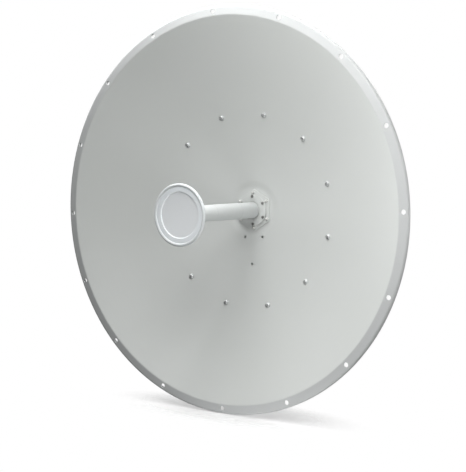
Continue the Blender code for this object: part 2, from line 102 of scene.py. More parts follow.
# Reflector
# One disc of aluminium sheet, spun to a paraboloid round a flat seat. Its rim is a flat flange with
# sixteen holes and a rolled hem. It is powder-coated pale grey and held by twelve screws.
SHEET = 0.0025
BOWL_DEPTH = 0.175
APERTURE_RADIUS = 0.500
SEAT_RADIUS = 0.058
SEAT_MARGIN = 0.002
SEAT_BLEND_RADIUS = 0.084
HUB_BORE_RADIUS = 0.030
RIM_BEND = 0.0022
FLANGE_RADIUS = 0.5182
FLANGE_MARGIN = 0.001
HEM_DROP = 0.0052
HEM_DEPTH = 0.010
HEM_RETURN_ROLL = 0.003
HEM_END_RADIUS = 0.5178
RIM_HOLES = 16
RIM_HOLE_CIRCLE = 0.511
RIM_HOLE_RADIUS = 0.006
SERVICE_HOLES = ((0.028, -0.073), (-0.028, -0.073), (0.0, -0.147))
SERVICE_HOLE_RADIUS = 0.0037
ROD_HALF_LENGTH = 0.012
REFLECTOR_STEPS = 288
BOWL_COLOURS = ((0.600, 0.622, 0.602), (0.636, 0.652, 0.640))
# The rim's colour is darker than the bowl's: a painted shade.
RIM_SHADE_COLOUR = (0.553, 0.568, 0.566)

vertex_y = rim_y + BOWL_DEPTH
four_f = APERTURE_RADIUS**2 / BOWL_DEPTH


def bowl_front(radius):
    """The y of the front face: the vertex's y less the radius squared over four focal lengths."""
    return vertex_y - radius**2 / four_f


def bowl_back(radius):
    """The y of the rear face, with the sheet's thickness measured square to its slope."""
    return bowl_front(radius) + SHEET * np.hypot(1.0, 2 * radius / four_f)


def bend(start, corner, end, steps):
    """A quadratic curve that leaves start towards the corner and reaches end from the corner."""
    t = np.linspace(0.0, 1.0, steps)[:, None]
    start, corner, end = (np.asarray(p, float) for p in (start, corner, end))
    return (1 - t) ** 2 * start + 2 * t * (1 - t) * corner + t**2 * end


def arc(centre, radius, start, end, steps):
    """Points at one radius from the centre, at even angles from start to end."""
    angle = np.linspace(start, end, steps)
    return np.stack([centre[0] + radius * np.cos(angle), centre[1] + radius * np.sin(angle)], -1)


def left_normals(line):
    """At each point of the line, the unit vector square to its run and to the left of it."""
    run = np.gradient(line, axis=-2)
    normal = np.stack([-run[..., 1], run[..., 0]], -1)
    return normal / np.linalg.norm(normal, axis=-1, keepdims=True)


def carried_round(profile, steps, origin=(0.0, 0.0, 0.0), axis=(0.0, 1.0, 0.0)):
    """Each profile point (radius, distance along the axis) carried round the axis in even steps.

    A third column turns the circle into a hexagon: at 1 the radius is that of the hexagon's flats,
    and it grows towards each corner by one over the cosine of the angle from the nearest flat."""
    profile = np.asarray(profile, float)
    axis = np.asarray(axis, float) / np.linalg.norm(axis)
    side = np.cross(axis, (1.0, 0.0, 0.0) if abs(axis[0]) < 0.9 else (0.0, 0.0, 1.0))
    side /= np.linalg.norm(side)
    across = np.cross(axis, side)
    angle = np.arange(steps) * math.tau / steps
    sixth = math.pi / 3
    corner = 1 / np.cos((angle + sixth / 2) % sixth - sixth / 2) - 1
    hexagonal = profile[:, 2:] if profile.shape[1] == 3 else np.zeros((len(profile), 1))
    radius = (profile[:, :1] * (1 + hexagonal * corner))[..., None]
    ring = np.cos(angle)[:, None] * side + np.sin(angle)[:, None] * across
    return np.asarray(origin, float) + radius * ring + profile[:, 1][:, None, None] * axis


def quads(rows, columns, closed_rows=False):
    """The four corners of each cell of a grid whose columns close on themselves."""
    i, j = np.meshgrid(
        np.arange(rows if closed_rows else rows - 1), np.arange(columns), indexing="ij"
    )
    below, beside = (i + 1) % rows, (j + 1) % columns
    cells = [i * columns + j, below * columns + j, below * columns + beside, i * columns + beside]
    return np.stack(cells, -1).reshape(-1, 4)


def piece_of(name, grids, finish, closed_rows=False, sharp=35.0):
    """One object from grids of points (rows, columns, 3), each of them a closed skin: its columns
    run round, and its rows close on themselves or end in a single point."""
    faces = []
    first = 0
    for grid in grids:
        faces.append(quads(grid.shape[0], grid.shape[1], closed_rows) + first)
        first += grid.shape[0] * grid.shape[1]
    mesh = bpy.data.meshes.new(name)
    points = np.concatenate([grid.reshape(-1, 3) for grid in grids])
    mesh.from_pydata(points, [], np.concatenate(faces))
    return finished(name, mesh, finish, sharp)


def finished(name, mesh, finish, sharp):
    """The object that holds the mesh: points that coincide merged, faces out, and smooth except
    where two faces meet at more than the sharp angle."""
    bm = bmesh.new()
    bm.from_mesh(mesh)
    bmesh.ops.remove_doubles(bm, verts=bm.verts, dist=1e-7)
    bmesh.ops.recalc_face_normals(bm, faces=bm.faces)
    bm.to_mesh(mesh)
    bm.free()
    mesh.shade_smooth()
    mesh.set_sharp_from_angle(angle=math.radians(sharp))
    mesh.materials.append(finish)
    piece = bpy.data.objects.new(name, mesh)
    bpy.context.scene.collection.objects.link(piece)
    return piece


def pierced(piece, rods, sharp=35.0):
    """The piece with the rods' shapes cut out of its mesh for good."""
    cut = piece.modifiers.new("holes", "BOOLEAN")
    cut.operation = "DIFFERENCE"
    cut.solver = "EXACT"
    cut.object = rods
    evaluated = piece.evaluated_get(bpy.context.evaluated_depsgraph_get())
    mesh = bpy.data.meshes.new_from_object(evaluated)
    piece.modifiers.clear()
    piece.data = mesh
    mesh.shade_smooth()
    mesh.set_sharp_from_angle(angle=math.radians(sharp))
    bpy.data.objects.remove(rods)
    return piece


def rods_at(places, axis, radius, half_length, steps=24):
    """One closed rod along the axis through each place, for cutting holes."""
    profile = [(0, -half_length), (radius, -half_length), (radius, half_length), (0, half_length)]
    return [carried_round(profile, steps, place, axis) for place in places]


class Tone:
    """A value in a material's nodes. Arithmetic on it adds a Math node for each operator."""

    def __init__(self, finish, output):
        self.finish = finish
        self.output = output

    def maths(self, operation, left, right):
        return self.finish.node("ShaderNodeMath", {"operation": operation}, {0: left, 1: right})

    def __add__(self, other):
        return self.maths("ADD", self, other)

    def __mul__(self, other):
        return self.maths("MULTIPLY", self, other)

    def __pow__(self, other):
        return self.maths("POWER", self, other)

    __radd__ = __add__
    __rmul__ = __mul__


class Finish:
    """One material, built round its Principled shader."""

    def __init__(self, name, **sockets):
        self.material = bpy.data.materials.new(name)
        self.material.use_nodes = True
        self.tree = self.material.node_tree
        self.shader = self.tree.nodes["Principled BSDF"]
        self.place = self.node("ShaderNodeTexCoord", output="Object")
        self.wear(**sockets)

    def node(self, kind, settings=(), sockets=(), output=0):
        """Adds a node: its settings first, then its sockets' values or links."""
        made = self.tree.nodes.new(kind)
        for key, value in dict(settings).items():
            setattr(made, key, value)
        for key, value in dict(sockets).items():
            self.plug(made.inputs[key], value)
        return Tone(self, made.outputs[output])

    def plug(self, socket, value):
        if isinstance(value, Tone):
            self.tree.links.new(value.output, socket)
        else:
            socket.default_value = value

    def wear(self, **sockets):
        """Sets or links the shader's own sockets, named with underscores for spaces."""
        for key, value in sockets.items():
            self.plug(self.shader.inputs[key.replace("_", " ")], value)

    def noise(self, scale, detail=2.0):
        """Cloudy grain from 0 to 1, with this many lumps to the metre."""
        sockets = {"Vector": self.place, "Scale": scale, "Detail": detail}
        return self.node("ShaderNodeTexNoise", {}, sockets)

    def blend(self, share, plain, other):
        """A colour between the two, by the share of the other."""
        ends = [end if isinstance(end, Tone) else (*end, 1.0) for end in (plain, other)]
        sockets = {0: share, 6: ends[0], 7: ends[1]}
        return self.node("ShaderNodeMix", {"data_type": "RGBA"}, sockets, output=2)

    def relief(self, height, depth):
        """Feeds the shader's normal with a bump of this depth in metres."""
        sockets = {"Height": height, "Distance": depth, "Strength": 1.0}
        self.wear(Normal=self.node("ShaderNodeBump", {}, sockets))


def axis_distance(finish):
    """The distance from the dish's axis: the root of x squared plus z squared."""
    parts = [
        finish.node("ShaderNodeSeparateXYZ", {}, {0: finish.place}, output=name) for name in "XZ"
    ]
    return (parts[0] * parts[0] + parts[1] * parts[1]) ** 0.5


def spun_powder_coat():
    """Pale grey powder coat: a fine orange-peel skin over faint rings left by the spinning. Its
    colour is painted a little darker on the rim, as painted shade."""
    paint = Finish("reflector_paint", Specular_IOR_Level=0.5)
    cloud = paint.noise(2.6, detail=3.0)
    bowl_colour = paint.blend(cloud, *BOWL_COLOURS)
    reach = axis_distance(paint)
    # Where the rim's painted shade takes over from the bowl's colour.
    rim_shade_share = paint.node(
        "ShaderNodeMapRange",
        {"interpolation_type": "SMOOTHSTEP"},
        {"Value": reach, "From Min": APERTURE_RADIUS - RIM_BEND, "From Max": APERTURE_RADIUS + RIM_BEND},
    )
    paint.wear(Base_Color=paint.blend(rim_shade_share, bowl_colour, RIM_SHADE_COLOUR))
    peel = paint.noise(620.0)
    paint.wear(Roughness=0.27 + 0.06 * paint.noise(9.0) + 0.04 * peel)
    rings = paint.node("ShaderNodeTexNoise", {"noise_dimensions": "1D"}, {"W": reach, "Scale": 85.0})
    paint.relief(peel + 0.6 * rings, 0.00012)
    return paint.material


blend_radii = np.linspace(SEAT_RADIUS, SEAT_BLEND_RADIUS, 9)
share = (blend_radii - SEAT_RADIUS) / (SEAT_BLEND_RADIUS - SEAT_RADIUS)
drop = bowl_front(SEAT_BLEND_RADIUS) - vertex_y
slope = -2 * SEAT_BLEND_RADIUS / four_f * (SEAT_BLEND_RADIUS - SEAT_RADIUS)
# A cubic that leaves the flat seat level and meets the paraboloid at its height and slope.
blend_y = vertex_y + share**2 * ((3 - 2 * share) * drop + (share - 1) * slope)
seat_radii = np.linspace(HUB_BORE_RADIUS, SEAT_RADIUS - SEAT_MARGIN, 6)
bowl_radii = np.linspace(SEAT_BLEND_RADIUS, APERTURE_RADIUS - RIM_BEND, 58)[1:]
flange_radii = np.linspace(APERTURE_RADIUS + 2 * RIM_BEND, FLANGE_RADIUS - FLANGE_MARGIN, 4)
hem_turn = np.linspace(0.0, math.pi / 2, 10)
# A quarter of an ellipse turns the flange back, and a quarter of a circle turns it inwards.
hem_front = np.stack(
    [
        FLANGE_RADIUS + (rim_radius - FLANGE_RADIUS) * np.sin(hem_turn),
        rim_y + HEM_DROP * (1 - np.cos(hem_turn)),
    ],
    -1,
)
return_centre = (rim_radius - HEM_RETURN_ROLL, rim_y + HEM_DEPTH - HEM_RETURN_ROLL)
front_line = np.concatenate(
    [
        np.stack([seat_radii, np.full_like(seat_radii, vertex_y)], -1),
        np.stack([blend_radii, blend_y], -1),
        np.stack([bowl_radii, bowl_front(bowl_radii)], -1),
        bend(
            (APERTURE_RADIUS - RIM_BEND, bowl_front(APERTURE_RADIUS - RIM_BEND)),
            (APERTURE_RADIUS, rim_y),
            (APERTURE_RADIUS + RIM_BEND, rim_y),
            6,
        )[1:],
        np.stack([flange_radii, np.full_like(flange_radii, rim_y)], -1),
        hem_front,
        arc(return_centre, HEM_RETURN_ROLL, 0.0, math.pi / 2, 8),
        [(HEM_END_RADIUS, rim_y + HEM_DEPTH)],
    ]
)
back_line = front_line + SHEET * left_normals(front_line)
section = np.concatenate([front_line, back_line[::-1]])
reflector_paint = spun_powder_coat()
reflector_sheet = piece_of(
    "reflector_sheet", [carried_round(section, REFLECTOR_STEPS)], reflector_paint, closed_rows=True
)
rim_angles = np.arange(RIM_HOLES) * math.tau / RIM_HOLES
rim_places = [(RIM_HOLE_CIRCLE * math.cos(a), rim_y, RIM_HOLE_CIRCLE * math.sin(a)) for a in rim_angles]
service_places = [(x, bowl_front(math.hypot(x, z)), z) for x, z in SERVICE_HOLES]
along_axis = (0.0, 1.0, 0.0)
hole_rods = rods_at(rim_places, along_axis, RIM_HOLE_RADIUS, ROD_HALF_LENGTH)
hole_rods += rods_at(service_places, along_axis, SERVICE_HOLE_RADIUS, ROD_HALF_LENGTH)
pierced(reflector_sheet, piece_of("reflector_holes", hole_rods, reflector_paint))
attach(reflector_sheet, "root")
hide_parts("reflector")

# Frame bolts
# Twelve zinc-plated button-head screws clamp the reflector to the frame arms, each with a washer
# under its head, and a washer and a hexagon nut behind the arm's foot.
FRAME_BOLTS = 12
FRAME_BOLT_CIRCLE = 0.261
FRAME_BOLT_FIRST = math.radians(15)
BOLT_HEAD_RADIUS = 0.0068
BOLT_HEAD_HEIGHT = 0.0040
BOLT_SOCKET_RADIUS = 0.0026
BOLT_SOCKET_DEPTH = 0.0038
WASHER_RADIUS = 0.0076
WASHER_THICKNESS = 0.0008
THREAD_RADIUS = 0.003
THREAD_PITCH = 0.001
THREAD_REACH = 0.003
NUT_FLAT_RADIUS = 0.005
NUT_HEIGHT = 0.0045
ARM_SHEET = 0.0025
STACK_PLAY = 0.001
FASTENER_STEPS = 30
FASTENER_SHARP = 28.0


def zinc_plate(name, colour, roughness):
    """Bright zinc over steel: slightly patchy, with a fine grain from the plating."""
    zinc = Finish(name, Metallic=1.0)
    patch = zinc.noise(180.0, detail=3.0)
    darker = tuple(0.78 * c for c in colour)
    zinc.wear(Base_Color=zinc.blend(patch, darker, colour))
    zinc.wear(Roughness=roughness + 0.14 * zinc.noise(420.0))
    zinc.relief(zinc.noise(2400.0), 0.00002)
    return zinc.material


def button_head(radius, height, socket_radius, socket_depth):
    """The profile of a domed head from the bottom of its hexagon socket out to its flat seat. The
    dome is an arc that starts this steep, over a straight wall of a quarter of the height."""
    steep = math.radians(66)
    wall = 0.25
    mouth = 1.2 * socket_radius
    dome = arc((0.0, 0.0), 1.0, steep, 0.0, 7)
    start = math.cos(steep)
    across = mouth + (radius - mouth) * (dome[:, 0] - start) / (1 - start)
    rise = height * (wall + (1 - wall) * dome[:, 1] / math.sin(steep))
    rows = [(0.0, height - socket_depth, 0.0), (socket_radius, height - socket_depth, 1.0)]
    rows += [(socket_radius, height, 1.0)]
    rows += [(r, y, 0.0) for r, y in zip(across, rise)]
    rows += [(radius, 0.0, 0.0), (0.0, 0.0, 0.0)]
    return rows


def washer(radius, thickness):
    """The profile of a washer. Its hole is hidden, so it is left closed."""
    edge = thickness / 4
    return [
        (0.0, thickness, 0.0),
        (radius - edge, thickness, 0.0),
        (radius, thickness - edge, 0.0),
        (radius, 0.0, 0.0),
        (0.0, 0.0, 0.0),
    ]


def raised(rows, rise):
    """The profile moved along its axis."""
    return [(r, y + rise, h) for r, y, h in rows]


def hexagon(flat_radius, height):
    """A nut or a hexagon head: six flats, with its corners chamfered towards a round top face."""
    chamfer = 0.12 * height
    return [
        (0.0, height, 0.0),
        (0.94 * flat_radius, height, 0.0),
        (flat_radius, height - chamfer, 1.0),
        (flat_radius, 0.2 * chamfer, 1.0),
        (0.98 * flat_radius, 0.0, 1.0),
        (0.0, 0.0, 0.0),
    ]


def hexagon_on_washer(washer_radius, thickness, flat_radius, height):
    """The profiles of a washer and of the nut or hexagon head that lies on it."""
    return [washer(washer_radius, thickness), raised(hexagon(flat_radius, height), thickness)]


def threaded_end(radius, pitch, start, end):
    """A round end whose profile steps between crest and root at each half pitch."""
    turns = np.arange(start, end, pitch / 2)
    depth = np.where(np.arange(len(turns)) % 2, 0.0, 0.55 * pitch)
    rows = [(0.0, start, 0.0)]
    rows += [(radius - d, y, 0.0) for d, y in zip(depth, turns)]
    rows += [(0.8 * radius, end, 0.0), (0.0, end, 0.0)]
    return rows


bright_zinc = zinc_plate("zinc_fastener", (0.72, 0.73, 0.73), 0.39)
lean = math.atan(2 * FRAME_BOLT_CIRCLE / four_f)
frame_stack = SHEET + ARM_SHEET + STACK_PLAY
dome_rows = button_head(BOLT_HEAD_RADIUS, BOLT_HEAD_HEIGHT, BOLT_SOCKET_RADIUS, BOLT_SOCKET_DEPTH)
front_rows = [washer(WASHER_RADIUS, WASHER_THICKNESS), raised(dome_rows, WASHER_THICKNESS)]
nut_face = WASHER_THICKNESS + NUT_HEIGHT
rear_rows = hexagon_on_washer(WASHER_RADIUS, WASHER_THICKNESS, NUT_FLAT_RADIUS, NUT_HEIGHT)
thread_start, thread_end = nut_face - THREAD_PITCH, nut_face + THREAD_REACH
rear_rows.append(threaded_end(THREAD_RADIUS, THREAD_PITCH, thread_start, thread_end))
rear_rows = [raised(rows, frame_stack) for rows in rear_rows]
for number in range(FRAME_BOLTS):
    angle = FRAME_BOLT_FIRST + number * math.tau / FRAME_BOLTS
    outward = np.array([math.cos(angle), 0.0, math.sin(angle)])
    seat = FRAME_BOLT_CIRCLE * outward + np.array([0.0, bowl_front(FRAME_BOLT_CIRCLE), 0.0])
    rearward = math.cos(lean) * np.array([0.0, 1.0, 0.0]) + math.sin(lean) * outward
    grids = [carried_round(rows, FASTENER_STEPS, seat, -rearward) for rows in front_rows]
    grids += [carried_round(rows, FASTENER_STEPS, seat, rearward) for rows in rear_rows]
    screw = piece_of(f"frame_screw_{number + 1:02d}", grids, bright_zinc, sharp=FASTENER_SHARP)
    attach(screw, "root")
    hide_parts(f"frame_bolt_{number + 1:02d}")

# Feed base plate
# A six-cornered plate of pale-painted cast aluminium on the bowl's seat. A button-head screw
# holds it at each corner.
PLATE_RADIUS = 0.057
PLATE_CORNER = 0.010
CORNERS = 6
PLATE_SCREW_CIRCLE = 0.0485
PLATE_WASHER_RADIUS = 0.0050
PLATE_HEAD_RADIUS = 0.0042
PLATE_HEAD_HEIGHT = 0.0048
PLATE_SOCKET_RADIUS = 0.0013
PLATE_SOCKET_DEPTH = 0.0018
PLATE_EDGE = 0.0005


def cast_paint():
    """Pale paint on a casting: smooth, with the casting's broad unevenness under it."""
    paint = Finish("feed_base_paint")
    cloud = paint.noise(30.0, detail=3.0)
    paint.wear(Base_Color=paint.blend(cloud, *BOWL_COLOURS))
    paint.wear(Roughness=0.38 + 0.10 * paint.noise(60.0))
    paint.relief(paint.noise(140.0) + 0.4 * paint.noise(900.0), 0.00015)
    return paint.material


def corner_outline(radius, corner, corners, steps):
    """A polygon with round corners, as (x, z) points: each corner is an arc about a centre on the
    line to that corner, and straight runs join the arcs."""
    middle = math.pi / 2 + np.arange(corners)[:, None] * math.tau / corners
    swing = np.linspace(-math.pi / corners, math.pi / corners, steps)
    reach = radius - corner
    x = reach * np.cos(middle) + corner * np.cos(middle + swing)
    z = reach * np.sin(middle) + corner * np.sin(middle + swing)
    return np.stack([x.ravel(), z.ravel()], -1)


def plate_between(outline, front, back, edge):
    """A plate between two values of y: the outline closed by a point at its middle on each face,
    with its edges rounded by drawing the first and last ring in."""
    reach = np.linalg.norm(outline, axis=1, keepdims=True)
    turn = np.linspace(0.0, math.pi / 2, 4)
    inset = edge * (1 - np.sin(np.concatenate([turn, turn[::-1]])))
    y = [[front], front + edge * (1 - np.cos(turn)), back - edge * (1 - np.cos(turn[::-1])), [back]]
    rings = outline * (1 - inset[:, None, None] / reach)
    middle = np.zeros_like(rings[:1])
    flat = np.concatenate([middle, rings, middle])
    y = np.broadcast_to(np.concatenate(y)[:, None], flat.shape[:2])
    return np.stack([flat[..., 0], y, flat[..., 1]], -1)


plate_low, plate_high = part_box("feed_base_plate")
base_paint = cast_paint()
pale_zinc = zinc_plate("pale_zinc", (0.86, 0.86, 0.84), 0.42)
outline = corner_outline(PLATE_RADIUS, PLATE_CORNER, CORNERS, 9)
plate_grid = plate_between(outline, plate_low.y, plate_high.y, PLATE_EDGE)
base_plate = piece_of("base_plate", [plate_grid], base_paint)
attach(base_plate, "root")
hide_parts("feed_base_plate")


def at_corners(profiles, circle, y):
    """The profiles carried round at each of the plate's corners, on this circle and facing out."""
    facing = (0.0, -1.0, 0.0)
    angles = math.pi / 2 + np.arange(CORNERS) * math.tau / CORNERS
    places = [(circle * math.cos(a), y, circle * math.sin(a)) for a in angles]
    return [carried_round(rows, FASTENER_STEPS, p, facing) for p in places for rows in profiles]


plate_head = button_head(PLATE_HEAD_RADIUS, PLATE_HEAD_HEIGHT, PLATE_SOCKET_RADIUS, PLATE_SOCKET_DEPTH)
plate_screw_rows = [washer(PLATE_WASHER_RADIUS, WASHER_THICKNESS), raised(plate_head, WASHER_THICKNESS)]
plate_screw_grids = at_corners(plate_screw_rows, PLATE_SCREW_CIRCLE, plate_low.y)
plate_screws = piece_of("plate_screws", plate_screw_grids, pale_zinc, sharp=FASTENER_SHARP)
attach(plate_screws, "root")

# Feed collar
# A round cast flange at the foot of the tube, painted as the plate is. Six socket cap screws hold
# it down, and it is undercut behind its lip.
COLLAR_SCREW_CIRCLE = 0.0376
CAP_RADIUS = 0.0038
CAP_HEIGHT = 0.0022
CAP_SOCKET_RADIUS = 0.0023
CAP_SOCKET_DEPTH = 0.0019
COLLAR_EDGE = 0.0006
GROOVE = 0.0015
GROOVE_EDGE = 0.0002
GROOVE_LIP = 0.0003
UNDERCUT = 0.0028
UNDERCUT_DEPTH = 0.0060


def cap_head(radius, height, socket_radius, socket_depth):
    """The profile of a straight-sided cap screw, from the bottom of its socket to its seat."""
    edge = 0.1 * radius
    return [
        (0.0, height - socket_depth, 0.0),
        (socket_radius, height - socket_depth, 1.0),
        (socket_radius, height, 1.0),
        (socket_radius * 1.25, height, 0.0),
        (radius - edge, height, 0.0),
        (radius - 0.3 * edge, height - 0.3 * edge, 0.0),
        (radius, height - edge, 0.0),
        (radius, 0.0, 0.0),
        (0.0, 0.0, 0.0),
    ]


collar_low, collar_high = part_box("feed_collar")
tube_low, tube_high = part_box("feed_tube")
collar_radius = (collar_high.x - collar_low.x) / 2
tube_radius = (tube_high.x - tube_low.x) / 2
collar_line = np.concatenate(
    [
        [
            (0.0, collar_low.y + GROOVE),
            (tube_radius + GROOVE - GROOVE_EDGE, collar_low.y + GROOVE),
            (tube_radius + GROOVE, collar_low.y + GROOVE_EDGE),
            (tube_radius + GROOVE + GROOVE_LIP, collar_low.y),
        ],
        arc((collar_radius - COLLAR_EDGE, collar_low.y + COLLAR_EDGE), COLLAR_EDGE, -math.pi / 2, 0.0, 5),
        [
            (collar_radius, collar_high.y - UNDERCUT),
            (collar_radius - UNDERCUT_DEPTH, collar_high.y - UNDERCUT),
            (collar_radius - UNDERCUT_DEPTH, collar_high.y),
            (0.0, collar_high.y),
        ],
    ]
)
collar = piece_of("collar", [carried_round(collar_line, 96)], base_paint)
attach(collar, "root")
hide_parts("feed_collar")
cap_rows = cap_head(CAP_RADIUS, CAP_HEIGHT, CAP_SOCKET_RADIUS, CAP_SOCKET_DEPTH)
dark_zinc = zinc_plate("socket_screw_steel", (0.42, 0.42, 0.41), 0.34)
collar_screw_grids = at_corners([cap_rows], COLLAR_SCREW_CIRCLE, collar_low.y)
collar_screws = piece_of("collar_screws", collar_screw_grids, dark_zinc, sharp=FASTENER_SHARP)
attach(collar_screws, "root")

# Feed tube
# A tube of white plastic, glued into the collar, which covers the waveguide. It narrows to the
# flare's neck at its front, and a close-fitting sleeve covers its foot.
NECK_RADIUS = 0.0207
TUBE_FOOT = 0.0016
TAPER_RUN = 0.040
SLEEVE_RUN = 0.080
SLEEVE_STEP = 0.0003
SLEEVE_EDGE = 0.0002


def weather_plastic(name, pale, shaded, roughness, shade_edging=None, **sockets):
    """White moulded plastic: even, with a faint sheen and the fine grain of the mould. A shade edging
    is two radii, and the darker colour of painted shade that the plastic changes to between them."""
    plastic = Finish(name, Specular_IOR_Level=0.25, **sockets)
    colour = plastic.blend(plastic.noise(12.0), shaded, pale)
    if shade_edging:
        start, end, shade_colour = shade_edging
        limits = {"Value": axis_distance(plastic), "From Min": start, "From Max": end}
        # Past the edging's radii the plastic takes the painted shade's darker colour.
        colour = plastic.blend(plastic.node("ShaderNodeMapRange", {}, limits), colour, shade_colour)
    plastic.wear(Base_Color=colour)
    plastic.wear(Roughness=roughness + 0.08 * plastic.noise(40.0))
    plastic.relief(plastic.noise(1500.0), 0.00004)
    return plastic.material


feed_plastic = weather_plastic("feed_plastic", (0.61, 0.63, 0.625), (0.59, 0.61, 0.605), 0.46)
tube_line = np.concatenate(
    [
        [(0.0, tube_low.y)],
        bend(
            (NECK_RADIUS, tube_low.y),
            (tube_radius - SLEEVE_STEP, tube_low.y + TAPER_RUN / 2),
            (tube_radius - SLEEVE_STEP, tube_low.y + TAPER_RUN),
            12,
        ),
        [
            (tube_radius - SLEEVE_STEP, tube_high.y - SLEEVE_RUN),
            (tube_radius, tube_high.y - SLEEVE_RUN + SLEEVE_EDGE),
        ],
        arc((tube_radius - TUBE_FOOT, tube_high.y - TUBE_FOOT), TUBE_FOOT, 0.0, math.pi / 2, 6),
        [(0.0, tube_high.y)],
    ]
)
tube = piece_of("tube", [carried_round(tube_line, 96)], feed_plastic)
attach(tube, "root")
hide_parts("feed_tube")

# Feed flare
# A moulded neck in the tube's white plastic. It plugs into the tube and flares out to carry the
# disc.
NECK_RUN = 0.069
flare_low, flare_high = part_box("feed_flare")
mouth_radius = (flare_high.x - flare_low.x) / 2
sweep = np.linspace(0.0, math.pi / 2, 24)
sweep_length = flare_high.y - NECK_RUN - flare_low.y
flare_line = np.concatenate(
    [
        [(0.0, flare_low.y)],
        np.stack(
            [
                NECK_RADIUS + (mouth_radius - NECK_RADIUS) * (1 - np.sin(sweep)),
                flare_low.y + sweep_length * (1 - np.cos(sweep)),
            ],
            -1,
        ),
        [(NECK_RADIUS, flare_high.y), (0.0, flare_high.y)],
    ]
)
flare = piece_of("flare", [carried_round(flare_line, 96)], feed_plastic)
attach(flare, "root")
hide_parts("feed_flare")

# Sub-reflector disc
# A stepped round moulding in white plastic: a round bead for an edge, a ledge inside it, and a
# plain sunk middle. It snaps on the flare's mouth.
BEAD_RADIUS = 0.004
BEAD_START = math.pi + 0.13
LEDGE_DEPTH = 0.0035
CENTRE_RADIUS = 0.0566
CENTRE_DEPTH = 0.006
STEP_FILLET = 0.0004
# The bead is painted darker than the disc's face, as painted shade: two radii and its colour.
BEAD_SHADE = (0.069, 0.070, (0.61, 0.635, 0.64))
DISC_GLOW = {"Subsurface_Weight": 0.8, "Subsurface_Radius": (1.0, 1.0, 1.0), "Subsurface_Scale": 0.004}

disc_low, disc_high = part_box("sub_reflector_disc")
disc_radius = (disc_high.x - disc_low.x) / 2
face_y = disc_low.y
bead_centre = (disc_radius - BEAD_RADIUS, face_y + BEAD_RADIUS)
floor_y, ledge_y = face_y + CENTRE_DEPTH, face_y + LEDGE_DEPTH
disc_line = np.concatenate(
    [
        [(0.0, floor_y)],
        bend(
            (CENTRE_RADIUS - 4 * STEP_FILLET, floor_y),
            (CENTRE_RADIUS - 2 * STEP_FILLET, floor_y),
            (CENTRE_RADIUS - STEP_FILLET, floor_y - 2.5 * STEP_FILLET),
            4,
        ),
        bend(
            (CENTRE_RADIUS - 0.5 * STEP_FILLET, ledge_y + 1.5 * STEP_FILLET),
            (CENTRE_RADIUS, ledge_y),
            (CENTRE_RADIUS + 1.5 * STEP_FILLET, ledge_y),
            4,
        ),
        arc(bead_centre, BEAD_RADIUS, BEAD_START, 2.5 * math.pi, 28),
        [(0.0, disc_high.y)],
    ]
)
disc_plastic = weather_plastic(
    "disc_plastic", (0.77, 0.80, 0.815), (0.75, 0.78, 0.795), 0.58, BEAD_SHADE, **DISC_GLOW
)
disc = piece_of("disc", [carried_round(disc_line, 128)], disc_plastic, sharp=50.0)
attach(disc, "root")
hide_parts("sub_reflector_disc")

# Frame arms
# Six arms pressed from steel sheet, a hat section whose brims follow the bowl. Each foot spreads
# to two frame bolts, and two more bolts hold the arm's inner end to the hub plate.
ARMS = 6
ARM_FIRST = math.radians(30)
ARM_INNER = 0.086
ARM_OUTER = 0.284
ARM_SHOULDER = 0.112
SHOULDER_LEAD = 0.003
ARM_WIDTHS = (0.036, 0.100)
BRIM_WIDTHS = (0.010, 0.034)
ARM_OUTER_HEIGHT = 0.020
ARM_CLEARANCE = 0.0008
ARM_BEND = 0.005
GAP = 0.0003


def frame_powder_coat(name, dark, pale):
    """Grey powder coat on steel: a coarser orange peel, and a little dust in patches."""
    paint = Finish(name)
    dust = paint.noise(14.0, detail=4.0)
    paint.wear(Base_Color=paint.blend(dust, dark, pale))
    peel = paint.noise(480.0)
    paint.wear(Roughness=0.42 + 0.12 * paint.noise(25.0) + 0.05 * peel)
    paint.relief(peel, 0.00014)
    return paint.material


def rounded(lines, radius, steps):
    """Polylines, one for each row, with each inner corner turned into a quadratic curve that
    starts and ends at the radius from the corner."""
    before, corner, after = lines[:, :-2], lines[:, 1:-1], lines[:, 2:]

    def towards(other):
        run = other - corner
        length = np.linalg.norm(run, axis=-1, keepdims=True)
        return corner + run / length * np.minimum(radius, 0.45 * length)

    t = np.linspace(0.0, 1.0, steps)[:, None]
    start, end = towards(before)[:, :, None], towards(after)[:, :, None]
    curve = (1 - t) ** 2 * start + 2 * t * (1 - t) * corner[:, :, None] + t**2 * end
    curve = curve.reshape(len(lines), -1, lines.shape[-1])
    return np.concatenate([lines[:, :1], curve, lines[:, -1:]], 1)


def sheet_between(name, outer, inner, finish, sharp=35.0):
    """A closed sheet between two skins of like grids: both skins, and a strip round their edge."""
    rows, columns = outer.shape[:2]
    index = np.arange(rows * columns).reshape(rows, columns)
    cells = np.stack([index[:-1, :-1], index[1:, :-1], index[1:, 1:], index[:-1, 1:]], -1)
    cells = cells.reshape(-1, 4)
    edge = np.concatenate([index[0, :-1], index[:-1, -1], index[-1, :0:-1], index[:0:-1, 0]])
    after = np.roll(edge, -1)
    strip = np.stack([edge, after, after + rows * columns, edge + rows * columns], -1)
    mesh = bpy.data.meshes.new(name)
    points = np.concatenate([outer.reshape(-1, 3), inner.reshape(-1, 3)])
    mesh.from_pydata(points, [], np.concatenate([cells, cells[:, ::-1] + rows * columns, strip]))
    return finished(name, mesh, finish, sharp)


